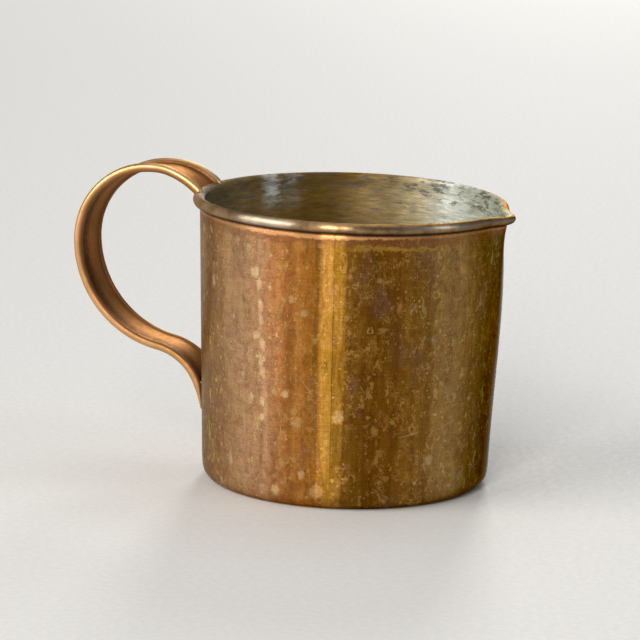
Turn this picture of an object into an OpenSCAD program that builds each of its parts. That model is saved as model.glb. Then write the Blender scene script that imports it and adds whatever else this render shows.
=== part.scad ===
// Copper mug with a rolled rim, a small pouring lip and a wired strap handle.
// Units are millimetres. +Z is up, the rest plane is z = 0 and the cup's axis is
// the Z axis. The handle is on the -X side and the pouring lip on the +X side.

/* [Cup] */

// overall height, from the table to the top of the rim
height = 106; // [98:0.5:112]

// radius of the outer face of the wall, carried up to the rim
mouth_r = 56; // [54:0.5:60]

// radius of the outer face of the wall, carried down to the table
base_r = 53; // [50:0.5:54]

// thickness of the copper sheet
sheet = 1; // [0.6:0.1:1.2]

// outer radius of the bend between wall and base
corner_r = 5.5; // [3:0.5:8]

// radius at which the base starts to rise towards its middle
dish_r = 40; // [20:1:42]

// how far the middle of the base stands above the table
dish_rise = 1; // [0.4:0.1:3]

// thickness of the tin on the inside
tin = 0.3; // [0.1:0.1:0.5]

/* [Rim] */

// radius of the rolled rim, seen in section
rim_r = 2; // [1.8:0.1:2.4]

// distance from the wall's outer face out to the middle of the roll
rim_out = 0.45; // [0.3:0.05:0.8]

// how far round the wire the sheet is rolled, in degrees
rim_wrap = 285; // [200:5:290]

/* [Pouring lip] */

// how far the rim is pulled out at the lip
lip_reach = 3.6; // [0:0.2:6]

// how far the lip itself is pushed down
lip_drop = 1.2; // [0:0.2:3]

// how far the whole front of the rim has sagged towards the lip
rim_sag = 1.6; // [0:0.2:2]

// half of the angle that the lip takes up, in degrees
lip_angle = 7; // [6:1:14]

// how far the rim is drawn in on each side of the lip
lip_pinch = 0.7; // [0:0.1:1.2]

// depth below the rim over which the lip fades into the wall
lip_fade = 13; // [8:1:25]

/* [Handle] */

// distance between the middles of the two rolled edges on top of the rim
strap_w = 22.6; // [18:0.2:26]

// the same distance at the foot
foot_w = 20.8; // [16:0.2:24]

// thickness of the sheet that the strap is made of
strap_t = 0.7; // [0.5:0.1:0.8]

// radius of a rolled edge on top of the rim
edge_r = 1.75; // [1.5:0.05:1.9]

// radius of a rolled edge at the foot
foot_edge_r = 1.4; // [1.2:0.05:1.7]

// how far the strap's middle lies inside the middles of its rolled edges
web_inset = 0.5; // [0.4:0.05:0.7]

// distance from the cup's axis to the middle of the upper bend
loop_x = 73.6; // [72.5:0.1:75]

// height of the middle of the upper bend
loop_z = 84; // [83.6:0.1:87]

// radius of the upper bend, which goes over the top and down the back
loop_r = 28.7; // [28.3:0.1:30]

// radius of the slacker bend below it
lower_r = 39; // [37:0.5:41]

// radius of the reversed bend that leads down onto the wall
foot_r = 19.4; // [18:0.2:21]

// distance from the cup's axis to the end of the reversed bend
foot_x = 56; // [55.8:0.1:57]

// slope of the foot against the vertical, in degrees
foot_lean = 19.5; // [15:0.5:24]

// height of the hammered end of the strap
foot_z = 24; // [18:0.5:27]

// angle at which the upper bend ends on top of the rim, in degrees
landing = 56; // [56:0.5:62]

// how far the strap is set out of square across its width, in degrees
skew = 3.5; // [0:0.5:5]

/* [Hidden] */

COPPER = [0.72, 0.45, 0.28];
TIN = [0.74, 0.74, 0.7];
STEEL = [0.5, 0.5, 0.52];
SOLDER = [0.66, 0.62, 0.56];

$fn = 96;
STEPS = 80;
CROWDING = 20;
SAG_ANGLE = 60;
WALL_RINGS = 9;
CORNER_STEPS = 5;
ROLL_STEPS = 12;
WEB_STEPS = 4;
WIRE_SIDES = 8;
GAP = 0.05;

rim_x = mouth_r + rim_out;
rim_z = height - rim_r;
tuck_z = rim_z - 1.6 * rim_r;
bend_x = base_r - corner_r;
inner_dish_r = 0.75 * dish_r;

UPPER_STEPS = 17;
LOWER_STEPS = 8;
FOOT_STEPS = 7;
TIP_STEPS = 5;
SOLDER_STEPS = 3;
FLATTENING = 0.75;
TIP_EASE = 3.3;
WRAP_SHARE = 0.15;
SKEW_SHARE = 0.12;

lower_x = loop_x + loop_r - lower_r;
turn_x = foot_x + foot_r * cos(foot_lean);
turn_z = loop_z - sqrt(pow(lower_r + foot_r, 2) - pow(turn_x - lower_x, 2));
turn_angle = acos((turn_x - lower_x) / (lower_r + foot_r));
tip_z = turn_z + foot_r * sin(foot_lean);
tip_off = foot_x - wall_r(tip_z);
web_face = web_inset + strap_t / 2;

// the outer face of the wall at a height
function wall_r(z) = base_r + (mouth_r - base_r) * z / height;

// heights of the rings of the wall, closer together towards the rim
function wall_z(i) = tuck_z - (tuck_z - corner_r) * pow(1 - i / WALL_RINGS, 2);

// directions round the cup, closer together at the lip
function heading(i) = 360 * i / STEPS - CROWDING * sin(360 * i / STEPS);

// shape of the lip in plan: pulled out in the middle, drawn in on both sides
function bell(a, width) = exp(-pow(a / width, 2));
function from_lip(a) = a > 180 ? a - 360 : a;
function pull(a) =
    lip_reach * bell(a, lip_angle) - lip_pinch * bell(abs(a) - 2 * lip_angle, 1.2 * lip_angle);

// how far the rim is lowered, at the lip and all along the front
function lowered(a) = lip_drop * bell(a, 2 * lip_angle) + rim_sag * bell(a, SAG_ANGLE);

// how much of the lip's shape is left at a height: all of it at the rim, none in the base
function fade(z) = z > corner_r ? exp(min(z - height, 0) / lip_fade) : 0;

// a point of the cup, moved by the lip
function cup_point(r, z, a) = [
    (r + pull(from_lip(a)) * fade(z)) * cos(a),
    (r + pull(from_lip(a)) * fade(z)) * sin(a),
    z - lowered(from_lip(a)) * fade(z)
];

// a circle round the middle of the roll, as section points
function roll(r, from, to, steps) = [
    for (i = [0:steps])
        let (a = from + (to - from) * i / steps)
            [rim_x + r * cos(a), rim_z + r * sin(a)]
];

// section of one face of the cup, from the flat of the base up to the rim
// inset is how far it lies inside the outer face
function cup_face(inset) = concat(
    [
        for (i = [0:CORNER_STEPS])
            let (a = 90 * i / CORNER_STEPS)
                [bend_x + (corner_r - inset) * sin(a), corner_r - (corner_r - inset) * cos(a)]
    ],
    [for (i = [1:WALL_RINGS]) [wall_r(wall_z(i)) - inset, wall_z(i)]]
);

function reversed(list) = [for (i = [len(list) - 1:-1:0]) list[i]];

// a shape turned from a section of [radius, height] points and pulled out at the lip
module turned(section, ring = false) {
    count = len(section);
    bands = ring ? count : count - 1;
    points = [
        for (p = section)
            for (i = [0:STEPS - 1])
                cup_point(p[0], p[1], heading(i))
    ];
    sides = [
        for (k = [0:bands - 1])
            for (i = [0:STEPS - 1])
                let (next = (k + 1) % count, j = (i + 1) % STEPS)
                    each [
                        [k * STEPS + i, next * STEPS + i, next * STEPS + j],
                        [k * STEPS + i, next * STEPS + j, k * STEPS + j]
                    ]
    ];
    caps = ring ? [] : [
        [for (i = [0:STEPS - 1]) i],
        [for (i = [STEPS - 1:-1:0]) (count - 1) * STEPS + i]
    ];
    polyhedron(points, concat(sides, caps));
}

// middle line of the handle; each station is the distance from the axis, the height,
// the direction that the outer face looks in and the thickness left by the hammer
stations = concat(
    [
        for (i = [0:UPPER_STEPS])
            let (a = (180 - landing) * (1 - i / UPPER_STEPS))
                [loop_x + loop_r * cos(a), loop_z + loop_r * sin(a), a, 1]
    ],
    [
        for (i = [1:LOWER_STEPS])
            let (a = -turn_angle * i / LOWER_STEPS)
                [lower_x + lower_r * cos(a), loop_z + lower_r * sin(a), a, 1]
    ],
    [
        for (i = [1:FOOT_STEPS])
            let (a = -turn_angle + (turn_angle - foot_lean) * i / FOOT_STEPS)
                [turn_x - foot_r * cos(a), turn_z - foot_r * sin(a), a, 1]
    ],
    [
        for (i = [1:TIP_STEPS])
            let (t = i / TIP_STEPS, z = tip_height(t))
                [wall_r(z) + tip_offset(t), z, -foot_lean * pow(1 - t, 2), tip_left(t)]
    ]
);
LAST = len(stations) - 1;
WIRE_LAST = LAST - TIP_STEPS;

// the hammered end: its height, the thickness left and the distance of its middle line from the wall
function tip_height(t) = tip_z + (foot_z - tip_z) * t;
function tip_left(t) = 1 - FLATTENING * t;
function tip_offset(t) =
    foot_edge_r * tip_left(t) + GAP + (tip_off - foot_edge_r - GAP) * pow(1 - t, TIP_EASE);

// radius of the rolled edges and half the distance between them along the handle
function edge_radius(i) = edge_r + (foot_edge_r - edge_r) * i / LAST;
function half_width(i) = (strap_w + (foot_w - strap_w) * i / LAST) / 2;

// how much of the cup's roundness the strap takes on, and how much of its skew
function ramp(x) = let (t = min(max(x, 0), 1)) t * t * (3 - 2 * t);
function wrap(i) = max(ramp(1 - i / LAST / WRAP_SHARE), ramp((i - WIRE_LAST) / LAST / WRAP_SHARE + 1));
function skewing(i) = ramp(min(i, WIRE_LAST - i) / LAST / SKEW_SHARE);
function sagitta(r, y) = r - sqrt(r * r - y * y);

// a point of the handle: y across the strap and n out of its outer face
function handle_point(i, y, n) =
    let (s = stations[i], r = wall_r(min(s[1], height)))
        [
            -s[0] - n * s[3] * cos(s[2]) + wrap(i) * sagitta(r, y),
            y,
            s[1] + n * s[3] * sin(s[2]) - y * tan(skew) * skewing(i)
        ];

// half of the strap's section: the outside of a rolled edge and then the inside, as [y, n] points
function edge_outside(h, r) =
    let (from = 180 + asin(web_face / r))
        [
            for (k = [0:ROLL_STEPS])
                let (a = from + (540 - from) * k / ROLL_STEPS)
                    [h + r * cos(a), r * sin(a)]
        ];
function edge_inside(h, r) =
    let (from = 180 + asin((web_inset - strap_t / 2) / (r - strap_t)))
        [
            for (k = [0:ROLL_STEPS])
                let (a = from + (540 - from) * k / ROLL_STEPS)
                    [h + (r - strap_t) * cos(a), (r - strap_t) * sin(a)]
        ];
function mirrored(list) = [for (p = list) [-p[0], p[1]]];

// the points between the two edges on one face of the strap
function across(p) = [for (k = [1:WEB_STEPS - 1]) [p[0] * (1 - 2 * k / WEB_STEPS), p[1]]];
function strap_section(h, r) = concat(
    edge_outside(h, r),
    reversed(edge_inside(h, r)),
    across(edge_inside(h, r)[0]),
    mirrored(edge_inside(h, r)),
    reversed(mirrored(edge_outside(h, r))),
    across(mirrored(edge_outside(h, r))[0])
);

// side faces of a shape whose sections have count points each
function skin(count, sections) = [
    for (k = [0:sections - 2])
        for (i = [0:count - 1])
            let (j = (i + 1) % count)
                each [
                    [k * count + i, k * count + j, (k + 1) * count + j],
                    [k * count + i, (k + 1) * count + j, (k + 1) * count + i]
                ]
];

// faces that close one end of the strap, from the first point of that end
function strap_cap(first, flip) =
    let (
        n = ROLL_STEPS,
        m = WEB_STEPS,
        inner = 2 * n + 1,
        far = inner + m,
        outer = far + 2 * n + 1,
        count = outer + m,
        quads = concat(
            [for (k = [0:n - 1]) [k, k + 1, inner - 1 - k, inner - k]],
            [for (k = [0:n - 1]) [outer - k, far + k, far + k + 1, outer - k - 1]],
            [for (k = [0:m - 1]) [(count - k) % count, inner + k, inner + k + 1, count - k - 1]]
        )
    )
        [for (q = quads) flip ? [for (v = reversed(q)) first + v] : [for (v = q) first + v]];

// section of the same face over the dished middle of the base
function dished(inset) = [[inner_dish_r, dish_rise + inset], [dish_r, inset]];

// one-piece cup with its edge rolled outwards round the rim wire and its base dished upwards
module body() {
    color(COPPER)
        difference() {
            turned(concat(
                cup_face(0),
                roll(rim_r - sheet, 180, 180 - rim_wrap, ROLL_STEPS),
                roll(rim_r, 180 - rim_wrap, 180, ROLL_STEPS),
                reversed(cup_face(sheet)),
                reversed(dished(sheet))
            ));
            cylinder(h = dish_rise, r1 = dish_r, r2 = inner_dish_r);
        }
}

// tin wiped over the inside, up to the roll
module tin_lining() {
    color(TIN)
        turned(concat(
            dished(sheet + GAP),
            cup_face(sheet + GAP),
            [[rim_x - rim_r - GAP, rim_z], [rim_x - rim_r - GAP - tin, rim_z]],
            reversed(cup_face(sheet + GAP + tin)),
            reversed(dished(sheet + GAP + tin))
        ));
}

// wire inside the rolled rim
module rim_wire() {
    color(STEEL)
        turned(roll(rim_r - sheet - GAP, 0, 360 - 360 / WIRE_SIDES, WIRE_SIDES - 1), ring = true);
}

// strap with both edges rolled, hammered round at the rim and flat at the foot
module handle_strap() {
    count = 4 * (ROLL_STEPS + 1) + 2 * (WEB_STEPS - 1);
    points = [
        for (i = [0:LAST])
            for (p = strap_section(half_width(i), edge_radius(i)))
                handle_point(i, p[0], p[1])
    ];
    color(COPPER)
        polyhedron(points, concat(
            skin(count, LAST + 1),
            strap_cap(0, true),
            strap_cap(LAST * count, false)
        ));
}

module edge_wire(side) {
    points = [
        for (i = [0:WIRE_LAST])
            for (k = [0:WIRE_SIDES - 1])
                let (a = 360 * k / WIRE_SIDES, r = edge_radius(i) - strap_t - GAP)
                    handle_point(i, side * half_width(i) + r * cos(a), r * sin(a))
    ];
    ends = [
        [for (k = [WIRE_SIDES - 1:-1:0]) k],
        [for (k = [0:WIRE_SIDES - 1]) WIRE_LAST * WIRE_SIDES + k]
    ];
    color(STEEL)
        polyhedron(points, concat(skin(WIRE_SIDES, WIRE_LAST + 1), ends));
}

// wire inside the strap's edge on the +Y side
module left_edge_wire() {
    edge_wire(1);
}

// wire inside the strap's edge on the -Y side
module right_edge_wire() {
    edge_wire(-1);
}

// a shape turned through the angle between the strap's rolled edges
module between_edges(r, half_w) {
    half_angle = asin(half_w / r);
    rotate([0, 0, 180 - half_angle])
        rotate_extrude(angle = 2 * half_angle)
            children();
}

// solder on top of the rim, under the end of the strap
module upper_solder() {
    under_r = loop_r - web_face - 2 * GAP;
    color(SOLDER)
        between_edges(rim_x, strap_w / 2 - edge_r - 2 * GAP)
            polygon(concat(
                roll(rim_r + GAP, 92, 20, 6),
                [
                    for (i = [SOLDER_STEPS:-1:0])
                        let (a = 180 - landing - i)
                            [loop_x + under_r * cos(a), loop_z + under_r * sin(a)]
                ]
            ));
}

// solder in the wedge between the wall and the foot of the strap
module lower_solder() {
    color(SOLDER)
        between_edges(wall_r(foot_z), foot_w / 2 - foot_edge_r - 2 * GAP)
            polygon(concat(
                [[wall_r(foot_z) + GAP, foot_z]],
                [
                    for (i = [TIP_STEPS:-1:0])
                        let (t = i / TIP_STEPS, z = tip_height(t))
                            [wall_r(z) + tip_offset(t) - web_face * tip_left(t) - GAP, z]
                ],
                [[wall_r(tip_z) + GAP, tip_z]]
            ));
}

body();
tin_lining();
rim_wire();
handle_strap();
left_edge_wire();
right_edge_wire();
upper_solder();
lower_solder();
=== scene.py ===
"""Visual model of the copper mug: smooth copper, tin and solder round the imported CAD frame.

All lengths in the geometry section are millimetres, as in the CAD source, and MM turns them
into metres. +Z is up, +X points to the pouring lip and -X to the handle.
"""

import math

import bmesh
import bpy
import numpy as np
from mathutils import Matrix, Vector


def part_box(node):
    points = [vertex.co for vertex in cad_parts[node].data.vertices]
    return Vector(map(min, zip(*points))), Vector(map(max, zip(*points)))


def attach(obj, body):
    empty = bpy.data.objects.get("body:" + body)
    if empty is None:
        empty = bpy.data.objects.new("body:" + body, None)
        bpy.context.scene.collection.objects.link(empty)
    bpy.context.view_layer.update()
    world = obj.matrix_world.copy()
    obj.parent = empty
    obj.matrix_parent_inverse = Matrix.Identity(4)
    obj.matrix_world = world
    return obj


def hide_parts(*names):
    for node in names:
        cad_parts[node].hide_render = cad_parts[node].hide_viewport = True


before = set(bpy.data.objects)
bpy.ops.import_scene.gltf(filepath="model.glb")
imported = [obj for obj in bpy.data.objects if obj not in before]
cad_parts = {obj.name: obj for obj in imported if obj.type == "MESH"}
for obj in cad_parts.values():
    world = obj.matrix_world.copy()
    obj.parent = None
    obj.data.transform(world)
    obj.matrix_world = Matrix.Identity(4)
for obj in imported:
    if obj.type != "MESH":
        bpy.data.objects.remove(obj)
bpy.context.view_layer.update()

MM = 0.001
TAU = 2 * math.pi

# ---------------------------------------------------------------- sizes, as in the CAD source

# The cup.
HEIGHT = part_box("body")[1].z / MM
MOUTH_R = 56.0
BASE_R = 53.0
SHEET = 1.0
CORNER_R = 5.5
DISH_R = 40.0
DISH_RISE = 1.0
TIN = 0.3
GAP = 0.05

# The rim, rolled outwards round its wire.
RIM_R = 2.0
RIM_X = MOUTH_R + 0.45
RIM_Z = HEIGHT - RIM_R
RIM_WRAP = 285.0
TUCK_Z = RIM_Z - 1.6 * RIM_R

# The pouring lip: lengths, and angles from +X.
LIP_REACH = 3.6
LIP_DROP = 1.2
RIM_SAG = 1.6
SAG_ANGLE = 60.0
LIP_ANGLE = 7.0
LIP_PINCH = 0.7
LIP_FADE = 13.0

# The handle: a strap with rolled edges on three bends, hammered flat at the foot.
STRAP_W = 22.6
FOOT_W = 20.8
STRAP_T = 0.7
EDGE_R = 1.75
FOOT_EDGE_R = 1.4
WEB_INSET = 0.5
LOOP_X = 73.6
LOOP_Z = 84.0
LOOP_R = 28.7
LOWER_R = 39.0
FOOT_R = 19.4
FOOT_X = 56.0
FOOT_LEAN = 19.5
FOOT_Z = 24.0
LANDING = 56.0
SKEW = 3.5
FLATTENING = 0.75
TIP_EASE = 3.3
WRAP_SHARE = 0.15
SKEW_SHARE = 0.12
# Steps that the CAD strap takes over its upper bend, lower bend, foot bend and tip.
CAD_STEPS = (17, 8, 7, 5)

# ---------------------------------------------------------------- mesh helpers


def sin_deg(angle):
    return np.sin(np.radians(angle))


def cos_deg(angle):
    return np.cos(np.radians(angle))


def bell(value, width):
    return np.exp(-((value / width) ** 2))


def ramp(value):
    """Smooth step from 0 to 1."""
    t = np.clip(value, 0, 1)
    return t * t * (3 - 2 * t)


def signed_volume(mesh):
    shape = bmesh.new()
    shape.from_mesh(mesh)
    volume = shape.calc_volume(signed=True)
    shape.free()
    return volume


def mesh_object(name, points, faces, material, sharp=40.0):
    """A smooth mesh piece from points in millimetres, riding on the mug's only body."""
    mesh = bpy.data.meshes.new(name)
    mesh.from_pydata((np.asarray(points) * MM).tolist(), [], faces)
    mesh.validate()
    if signed_volume(mesh) < 0:
        mesh.flip_normals()
    mesh.shade_smooth()
    mesh.set_sharp_from_angle(angle=math.radians(sharp))
    mesh.materials.append(material)
    piece = bpy.data.objects.new(name, mesh)
    bpy.context.scene.collection.objects.link(piece)
    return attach(piece, "root")


def band_faces(rows, columns):
    """Quads over a grid of points whose columns go all the way round."""
    faces = []
    for k in range(rows - 1):
        below, above = k * columns, (k + 1) * columns
        for i in range(columns):
            j = (i + 1) % columns
            faces.append((below + i, above + i, above + j, below + j))
    return faces


# ---------------------------------------------------------------- the cup

# Columns round the cup crowd towards the lip by an angle, and rings towards the corner.
ROUND_STEPS = 288
CROWDING = 20.0
WALL_RINGS = 44
RING_CROWDING = 1.3
CORNER_STEPS = 10
ROLL_STEPS = 40
BASE_RINGS = 20
CENTRE_R = 0.2
DISH_SLOPE = 0.25 * DISH_R

# How far, and where, the wall swells.
SWELL = 1.5
SWELL_ANGLE = 12.7
SWELL_WIDTH = 34.0
SWELL_Z = 68.0
SWELL_HEIGHT = 25.0


def wall_r(z):
    """Outer radius of the wall at a height."""
    return BASE_R + (MOUTH_R - BASE_R) * z / HEIGHT


def fade(z):
    """How much of the lip's shape is left at a height."""
    return np.where(z > CORNER_R, np.exp(np.minimum(z - HEIGHT, 0) / LIP_FADE), 0)


def lowered(angle):
    """How far the rim is lowered, at the lip and all along the front."""
    return LIP_DROP * bell(angle, 2 * LIP_ANGLE) + RIM_SAG * bell(angle, SAG_ANGLE)


def pull(angle):
    """How far the rim is drawn out at the lip, and in on both sides of it."""
    return LIP_REACH * bell(angle, LIP_ANGLE) - LIP_PINCH * bell(
        abs(angle) - 2 * LIP_ANGLE, 1.2 * LIP_ANGLE
    )


def swell(angle, z):
    """The wall bulges a little below the lip, where the cup was knocked or overstretched."""
    return (
        SWELL
        * bell(angle - SWELL_ANGLE, SWELL_WIDTH)
        * bell(z - SWELL_Z, SWELL_HEIGHT * math.sqrt(2))
        * ramp(z / SWELL_HEIGHT)
        * ramp((HEIGHT - z) / SWELL_HEIGHT)
    )


def cup_points(section):
    """A section of [radius, height] points turned round the axis and shaped by the lip."""
    turn = np.arange(ROUND_STEPS) / ROUND_STEPS
    angle = 360 * turn - CROWDING * np.sin(TAU * turn)
    from_lip = np.where(angle > 180, angle - 360, angle)[None, :]
    r, z = (np.array(section, float)[:, k][:, None] for k in (0, 1))
    reach = r + pull(from_lip) * fade(z) + swell(from_lip, z) * ramp(r / BASE_R)
    low = z - lowered(from_lip) * fade(z)
    grid = [reach * cos_deg(from_lip), reach * sin_deg(from_lip), low + 0 * from_lip]
    return np.stack(grid, axis=-1).reshape(-1, 3)


def roll(radius, start, end):
    """An arc of the rolled rim's section."""
    angle = np.linspace(start, end, ROLL_STEPS + 1)
    return [
        (RIM_X + radius * cos_deg(a), RIM_Z + radius * sin_deg(a)) for a in angle
    ]


def cup_face(inset, top):
    """Section of one face of the cup from the middle of the base up to a height."""
    bend_x = BASE_R - CORNER_R
    base = [
        (r, inset + DISH_RISE * ramp((DISH_R - r) / DISH_SLOPE))
        for r in np.linspace(CENTRE_R, DISH_R, BASE_RINGS)
    ]
    corner = [
        (
            bend_x + (CORNER_R - inset) * sin_deg(a),
            CORNER_R - (CORNER_R - inset) * cos_deg(a),
        )
        for a in np.linspace(0, 90, CORNER_STEPS + 1)
    ]
    share = 1 - np.arange(1, WALL_RINGS + 1) / WALL_RINGS
    heights = top - (top - CORNER_R) * share**RING_CROWDING
    return base + corner + [(wall_r(z) - inset, z) for z in heights]


def close_ends(faces, rows, columns):
    """Caps over the first and the last ring of a shape that is open at both ends."""
    first = tuple(range(columns))
    last = tuple((rows - 1) * columns + i for i in reversed(first))
    return faces + [first, last]


def turned(name, section, material, sharp=40.0):
    """A piece of the cup from its section, closed at the middle of the base."""
    points = cup_points(section)
    faces = close_ends(
        band_faces(len(section), ROUND_STEPS), len(section), ROUND_STEPS
    )
    return mesh_object(name, points, faces, material, sharp)


def cup_section():
    """Outer face, the inside of the roll, its outside, and the inner face back down."""
    return (
        cup_face(0, TUCK_Z)
        + roll(RIM_R - SHEET, 180, 180 - RIM_WRAP)
        + roll(RIM_R, 180 - RIM_WRAP, 180)
        + cup_face(SHEET, TUCK_Z)[::-1]
    )


LINING_TOP = RIM_Z + 0.3
LINING_LIP = 0.06
LINING_STEPS = 10


def lining_section():
    """The lining follows the inner face and thins out where it meets the roll."""
    low = SHEET + GAP
    turn_in = RIM_X - RIM_R - GAP

    def face(inset, end_r):
        straight = cup_face(inset, TUCK_Z)
        start_r = straight[-1][0]
        rise = np.linspace(0, 1, LINING_STEPS + 1)[1:]
        return straight + [
            (
                start_r + (end_r - start_r) * ramp(t),
                TUCK_Z + (LINING_TOP - TUCK_Z) * t,
            )
            for t in rise
        ]

    return face(low, turn_in) + face(low + TIN, turn_in - LINING_LIP)[::-1]


# ---------------------------------------------------------------- the handle

# The strap's upper end falls onto the rim and is bent down into the top of it.
LANDING_FALL = 1.45
FALL_FROM = 95.0
FALL_EASE = 1.6
EXTRA_LEAN = 7.0
END_BEND = 3.0
END_TURN = 35.0
END_STEPS = 6

UPPER_STEPS = 64
LOWER_STEPS = 28
FOOT_STEPS = 26
TIP_STEPS = 20
EDGE_STEPS = 22
WEB_STEPS = 8

lower_x = LOOP_X + LOOP_R - LOWER_R
turn_x = FOOT_X + FOOT_R * cos_deg(FOOT_LEAN)
turn_z = LOOP_Z - math.sqrt((LOWER_R + FOOT_R) ** 2 - (turn_x - lower_x) ** 2)
turn_angle = math.degrees(math.acos((turn_x - lower_x) / (LOWER_R + FOOT_R)))
tip_z = turn_z + FOOT_R * sin_deg(FOOT_LEAN)
tip_off = FOOT_X - wall_r(tip_z)


def along(stretch, t):
    """Share of the way along the strap at t of one of its four stretches."""
    return (sum(CAD_STEPS[:stretch]) + CAD_STEPS[stretch] * t) / sum(CAD_STEPS)


def tip_left(t):
    """What is left of the strap's thickness where it is hammered flat."""
    return 1 - FLATTENING * t


def tip_offset(t):
    """Distance of the tip's middle line from the wall."""
    touching = FOOT_EDGE_R * tip_left(t) + GAP
    return touching + (tip_off - FOOT_EDGE_R - GAP) * (1 - t) ** TIP_EASE


def handle_stations():
    """Middle line of the handle, from the rim to the foot, as [distance out, height,
    outward direction, thickness left, share of the way along it]."""
    found = []
    for i in range(UPPER_STEPS + 1):
        t = i / UPPER_STEPS
        a = (180 - LANDING) * (1 - t)
        fallen = max(a - FALL_FROM, 0) / (180 - LANDING - FALL_FROM)
        found.append(
            (
                LOOP_X + LOOP_R * cos_deg(a),
                LOOP_Z + LOOP_R * sin_deg(a) - LANDING_FALL * fallen**FALL_EASE,
                a + EXTRA_LEAN * fallen,
                1,
                along(0, t),
            )
        )
    out, z, direction = found[0][:3]
    for i in range(1, END_STEPS + 1):
        a = direction + END_TURN * i / END_STEPS
        found.insert(
            0,
            (
                out + END_BEND * (cos_deg(a) - cos_deg(direction)),
                z + END_BEND * (sin_deg(a) - sin_deg(direction)),
                a,
                1,
                0,
            ),
        )
    for i in range(1, LOWER_STEPS + 1):
        t = i / LOWER_STEPS
        a = -turn_angle * t
        found.append(
            (
                lower_x + LOWER_R * cos_deg(a),
                LOOP_Z + LOWER_R * sin_deg(a),
                a,
                1,
                along(1, t),
            )
        )
    for i in range(1, FOOT_STEPS + 1):
        t = i / FOOT_STEPS
        a = -turn_angle + (turn_angle - FOOT_LEAN) * t
        found.append(
            (
                turn_x - FOOT_R * cos_deg(a),
                turn_z - FOOT_R * sin_deg(a),
                a,
                1,
                along(2, t),
            )
        )
    for i in range(1, TIP_STEPS + 1):
        t = i / TIP_STEPS
        z = tip_z + (FOOT_Z - tip_z) * t
        found.append(
            (
                wall_r(z) + tip_offset(t),
                z,
                -FOOT_LEAN * (1 - t) ** 2,
                tip_left(t),
                along(3, t),
            )
        )
    return found


WIRE_END = along(3, 0)


def handle_point(station, y, n):
    """A point of the strap: y across it and n out of its outer face."""
    out, z, direction, left, share = station
    wrap = max(
        ramp(1 - share / WRAP_SHARE), ramp((share - WIRE_END) / WRAP_SHARE + 1)
    )
    skewing = ramp(min(share, WIRE_END - share) / SKEW_SHARE)
    r = wall_r(min(z, HEIGHT))
    sagitta = r - math.sqrt(r * r - y * y)
    return (
        -out - n * left * cos_deg(direction) + wrap * sagitta,
        y,
        z + n * left * sin_deg(direction) - y * math.tan(math.radians(SKEW)) * skewing,
    )


def strap_section(half, radius):
    """Section of the strap as [y, n]: a web with both edges rolled over."""
    web_face = WEB_INSET + STRAP_T / 2
    outer_from = 180 + math.degrees(math.asin(web_face / radius))
    inner_r = radius - STRAP_T
    inner_from = 180 + math.degrees(math.asin((WEB_INSET - STRAP_T / 2) / inner_r))

    def arc(r, start):
        return [
            (half + r * cos_deg(a), r * sin_deg(a))
            for a in np.linspace(start, 540, EDGE_STEPS + 1)
        ]

    def mirrored(points):
        return [(-y, n) for y, n in points]

    def across(point):
        return [
            (point[0] * (1 - 2 * k / WEB_STEPS), point[1])
            for k in range(1, WEB_STEPS)
        ]

    outside, inside = arc(radius, outer_from), arc(inner_r, inner_from)
    return (
        outside
        + inside[::-1]
        + across(inside[0])
        + mirrored(inside)
        + mirrored(outside)[::-1]
        + across(mirrored(outside)[0])
    )


def strap_caps(count, last_ring):
    """The faces that close both ends of the strap."""
    n, m = EDGE_STEPS, WEB_STEPS
    inner = 2 * n + 1
    far = inner + m
    outer = far + 2 * n + 1
    quads = [(k, k + 1, inner - 1 - k, inner - k) for k in range(n)]
    quads += [(outer - k, far + k, far + k + 1, outer - k - 1) for k in range(n)]
    quads += [
        ((count - k) % count, inner + k, inner + k + 1, count - k - 1)
        for k in range(m)
    ]
    start = last_ring * count
    return quads + [tuple(start + v for v in q[::-1]) for q in quads]


def edge_size(share):
    """Half the distance between the rolled edges, and their radius."""
    half = (STRAP_W + (FOOT_W - STRAP_W) * share) / 2
    return half, EDGE_R + (FOOT_EDGE_R - EDGE_R) * share


def handle_strap(material):
    stations = handle_stations()
    points = []
    for station in stations:
        section = strap_section(*edge_size(station[4]))
        points += [handle_point(station, y, n) for y, n in section]
    count = len(section)
    faces = band_faces(len(stations), count) + strap_caps(count, len(stations) - 1)
    return mesh_object("handle", points, faces, material, sharp=35.0)


# The web reaches from -WEB_EDGE to WEB_EDGE; its inner face is n < -WEB_INSET.
WEB_EDGE = STRAP_W / 2 - 0.8 * EDGE_R
ROLL_HOLLOW = 0.9
HOLLOW_DEPTH = 1.2
# Painted shade as [distance from the strap's middle where it begins, where it is full].
HALF_SHADE = (1.8, 3.2)
LINE_SHADE = (6.6, 8.6)
INNER_LINE = 0.35
OUTER_LINE = 0.8


def grown(distance, begins, full):
    return float(ramp((distance - begins) / (full - begins)))


def hollow_mark(y, n):
    """1 on the web and less on the inward half of the rolled edges."""
    if abs(y) < WEB_EDGE:
        return 1.0
    return float(ROLL_HOLLOW * ramp(0.5 - n / HOLLOW_DEPTH))


def painted_shade_mark(y, n):
    """Painted shade beside the rolled edges, spreading over the -Y half of the inner face."""
    if abs(y) > WEB_EDGE:
        return 0.0
    if n < -WEB_INSET and y < 0:
        return grown(abs(y), *HALF_SHADE)
    return grown(abs(y), *LINE_SHADE) * (INNER_LINE if n < -WEB_INSET else OUTER_LINE)


WIRE_SIDES = 12


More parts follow.
